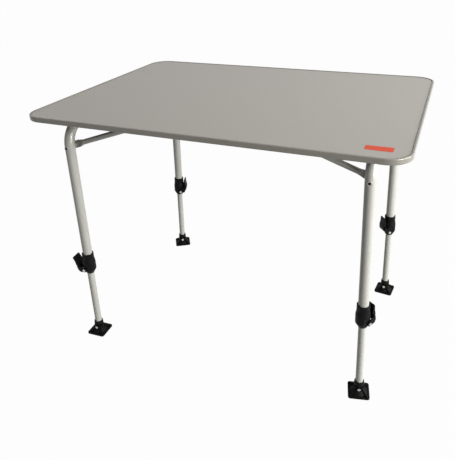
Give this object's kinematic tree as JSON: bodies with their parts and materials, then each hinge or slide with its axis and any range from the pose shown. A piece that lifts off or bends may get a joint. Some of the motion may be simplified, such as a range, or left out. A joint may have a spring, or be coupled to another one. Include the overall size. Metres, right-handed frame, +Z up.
{
  "type": "folding camping table",
  "caption": "Folding camping table: laminate top in an aluminium edge profile on two nested U-shaped leg frames with locking stays and clamped telescopic legs.",
  "frame": {"origin": "on the floor, under the middle of the table top", "axes": "+X right along the long side, +Y towards the back, +Z up; the picture shows the front (-Y) long side"},
  "size_m": [1, 0.716, 0.762],
  "materials": {
    "top_laminate": "fine-grained silver-grey laminate, satin",
    "trim_aluminium": "satin anodised",
    "track_aluminium": "mill finish",
    "tube_aluminium": "satin anodised tube",
    "bright_steel": "bright zinc plated",
    "black_plastic": "fine-textured black nylon",
    "foot_plastic": "black moulded plastic"
  },
  "bodies": {
    "top": {"table_board": "top_laminate", "edge_trim": "trim_aluminium", "saddle_left_front": "black_plastic", "saddle_left_back": "black_plastic", "saddle_right_front": "black_plastic", "saddle_right_back": "black_plastic", "saddle_screws": "bright_steel", "stay_track_left_front": "track_aluminium", "stay_track_left_back": "track_aluminium", "stay_track_right_front": "track_aluminium", "stay_track_right_back": "track_aluminium", "stay_stop_left_front": "black_plastic", "stay_stop_left_back": "black_plastic", "stay_stop_right_front": "black_plastic", "stay_stop_right_back": "black_plastic", "track_screws": "bright_steel"},
    "left_frame": {"left_leg_frame": "tube_aluminium", "stay_rivets_left": "bright_steel", "stay_spacers_left": "black_plastic", "collar_left_front": "black_plastic", "collar_left_back": "black_plastic", "lever_pins_left_front": "bright_steel", "lever_pins_left_back": "bright_steel"},
    "right_frame": {"right_leg_frame": "tube_aluminium", "stay_rivets_right": "bright_steel", "stay_spacers_right": "black_plastic", "collar_right_front": "black_plastic", "collar_right_back": "black_plastic", "lever_pins_right_front": "bright_steel", "lever_pins_right_back": "bright_steel"},
    "stay_left_front_arm": {"stay_left_front": "tube_aluminium", "stay_glide_left_front": "black_plastic"},
    "lever_left_front_yoke": {"lever_left_front": "black_plastic"},
    "slider_left_front": {"guide_bush_left_front": "black_plastic"},
    "leg_left_front": {"inner_leg_left_front": "tube_aluminium", "foot_rivet_left_front": "bright_steel"},
    "foot_left_front_pad": {"foot_left_front": "foot_plastic"},
    "stay_left_back_arm": {"stay_left_back": "tube_aluminium", "stay_glide_left_back": "black_plastic"},
    "lever_left_back_yoke": {"lever_left_back": "black_plastic"},
    "slider_left_back": {"guide_bush_left_back": "black_plastic"},
    "leg_left_back": {"inner_leg_left_back": "tube_aluminium", "foot_rivet_left_back": "bright_steel"},
    "foot_left_back_pad": {"foot_left_back": "foot_plastic"},
    "stay_right_front_arm": {"stay_right_front": "tube_aluminium", "stay_glide_right_front": "black_plastic"},
    "lever_right_front_yoke": {"lever_right_front": "black_plastic"},
    "slider_right_front": {"guide_bush_right_front": "black_plastic"},
    "leg_right_front": {"inner_leg_right_front": "tube_aluminium", "foot_rivet_right_front": "bright_steel"},
    "foot_right_front_pad": {"foot_right_front": "foot_plastic"},
    "stay_right_back_arm": {"stay_right_back": "tube_aluminium", "stay_glide_right_back": "black_plastic"},
    "lever_right_back_yoke": {"lever_right_back": "black_plastic"},
    "slider_right_back": {"guide_bush_right_back": "black_plastic"},
    "leg_right_back": {"inner_leg_right_back": "tube_aluminium", "foot_rivet_right_back": "bright_steel"},
    "foot_right_back_pad": {"foot_right_back": "foot_plastic"}
  },
  "joints": [
    {"name": "left_frame_fold", "type": "hinge", "parent": "top", "child": "left_frame", "pos_m": [-0.408, 0, 0.7248], "axis": [0, -1, 0], "range_deg": [0, 86]},
    {"name": "right_frame_fold", "type": "hinge", "parent": "top", "child": "right_frame", "pos_m": [0.408, 0, 0.7248], "axis": [0, 1, 0], "range_deg": [0, 86]},
    {"name": "stay_left_front_turn", "type": "hinge", "parent": "left_frame", "child": "stay_left_front_arm", "pos_m": [-0.40998, -0.272, 0.66], "axis": [0, -1, 0], "range_deg": [-100.77, 0.5]},
    {"name": "lever_left_front_open", "type": "hinge", "parent": "left_frame", "child": "lever_left_front_yoke", "pos_m": [-0.43039, -0.29456, 0.25324], "axis": [0.0697, -0.9976, -0.0021], "range_deg": [-27, 58]},
    {"name": "leg_left_front_extend", "type": "slide", "parent": "left_frame", "child": "slider_left_front", "axis": [-0.0305, 0, -0.9995], "range_m": [-0.17, 0.045]},
    {"name": "leg_left_front_swivel", "type": "hinge", "parent": "slider_left_front", "child": "leg_left_front", "pos_m": [-0.42196, -0.294, 0.268], "axis": [0.0305, 0, 0.9995], "continuous": true},
    {"name": "foot_left_front_tilt", "type": "hinge", "parent": "leg_left_front", "child": "foot_left_front_pad", "pos_m": [-0.4295, -0.294, 0.021], "axis": [-0.0523, 0.9986, 0], "range_deg": [-12, 12]},
    {"name": "stay_left_back_turn", "type": "hinge", "parent": "left_frame", "child": "stay_left_back_arm", "pos_m": [-0.40998, 0.272, 0.66], "axis": [0, -1, 0], "range_deg": [-100.77, 0.5]},
    {"name": "lever_left_back_open", "type": "hinge", "parent": "left_frame", "child": "lever_left_back_yoke", "pos_m": [-0.4149, 0.29674, 0.25276], "axis": [-0.3419, 0.9397, 0.0104], "range_deg": [0, 85]},
    {"name": "leg_left_back_extend", "type": "slide", "parent": "left_frame", "child": "slider_left_back", "axis": [-0.0305, 0, -0.9995], "range_m": [-0.17, 0.045]},
    {"name": "leg_left_back_swivel", "type": "hinge", "parent": "slider_left_back", "child": "leg_left_back", "pos_m": [-0.42196, 0.294, 0.268], "axis": [0.0305, 0, 0.9995], "continuous": true},
    {"name": "foot_left_back_tilt", "type": "hinge", "parent": "leg_left_back", "child": "foot_left_back_pad", "pos_m": [-0.4295, 0.294, 0.021], "axis": [-0.5225, 0.8526, 0], "range_deg": [-12, 12]},
    {"name": "stay_right_front_turn", "type": "hinge", "parent": "right_frame", "child": "stay_right_front_arm", "pos_m": [0.40998, -0.23, 0.66], "axis": [0, 1, 0], "range_deg": [-100.77, 0.5]},
    {"name": "lever_right_front_open", "type": "hinge", "parent": "right_frame", "child": "lever_right_front_yoke", "pos_m": [0.42734, -0.2457, 0.25314], "axis": [-0.7876, 0.6157, -0.0241], "range_deg": [0, 85]},
    {"name": "leg_right_front_extend", "type": "slide", "parent": "right_frame", "child": "slider_right_front", "axis": [0.0305, 0, -0.9995], "range_m": [-0.17, 0.045]},
    {"name": "leg_right_front_swivel", "type": "hinge", "parent": "slider_right_front", "child": "leg_right_front", "pos_m": [0.42196, -0.252, 0.268], "axis": [-0.0305, 0, 0.9995], "continuous": true},
    {"name": "foot_right_front_tilt", "type": "hinge", "parent": "leg_right_front", "child": "foot_right_front_pad", "pos_m": [0.4295, -0.252, 0.021], "axis": [-0.2233, 0.9748, 0], "range_deg": [-12, 12]},
    {"name": "stay_right_back_turn", "type": "hinge", "parent": "right_frame", "child": "stay_right_back_arm", "pos_m": [0.40998, 0.23, 0.66], "axis": [0, 1, 0], "range_deg": [-100.77, 0.5]},
    {"name": "lever_right_back_open", "type": "hinge", "parent": "right_frame", "child": "lever_right_back_yoke", "pos_m": [0.41586, 0.24741, 0.25279], "axis": [0.5733, -0.8192, 0.0175], "range_deg": [0, 85]},
    {"name": "leg_right_back_extend", "type": "slide", "parent": "right_frame", "child": "slider_right_back", "axis": [0.0305, 0, -0.9995], "range_m": [-0.17, 0.045]},
    {"name": "leg_right_back_swivel", "type": "hinge", "parent": "slider_right_back", "child": "leg_right_back", "pos_m": [0.42196, 0.252, 0.268], "axis": [-0.0305, 0, 0.9995], "continuous": true},
    {"name": "foot_right_back_tilt", "type": "hinge", "parent": "leg_right_back", "child": "foot_right_back_pad", "pos_m": [0.4295, 0.252, 0.021], "axis": [0.1011, 0.9949, 0], "range_deg": [-12, 12]}
  ],
  "couplings": [
    {"joint": "stay_left_front_turn", "follows": "left_frame_fold", "ratio": -1.1659},
    {"joint": "stay_left_back_turn", "follows": "left_frame_fold", "ratio": -1.1659},
    {"joint": "stay_right_front_turn", "follows": "right_frame_fold", "ratio": -1.1659},
    {"joint": "stay_right_back_turn", "follows": "right_frame_fold", "ratio": -1.1659}
  ]
}
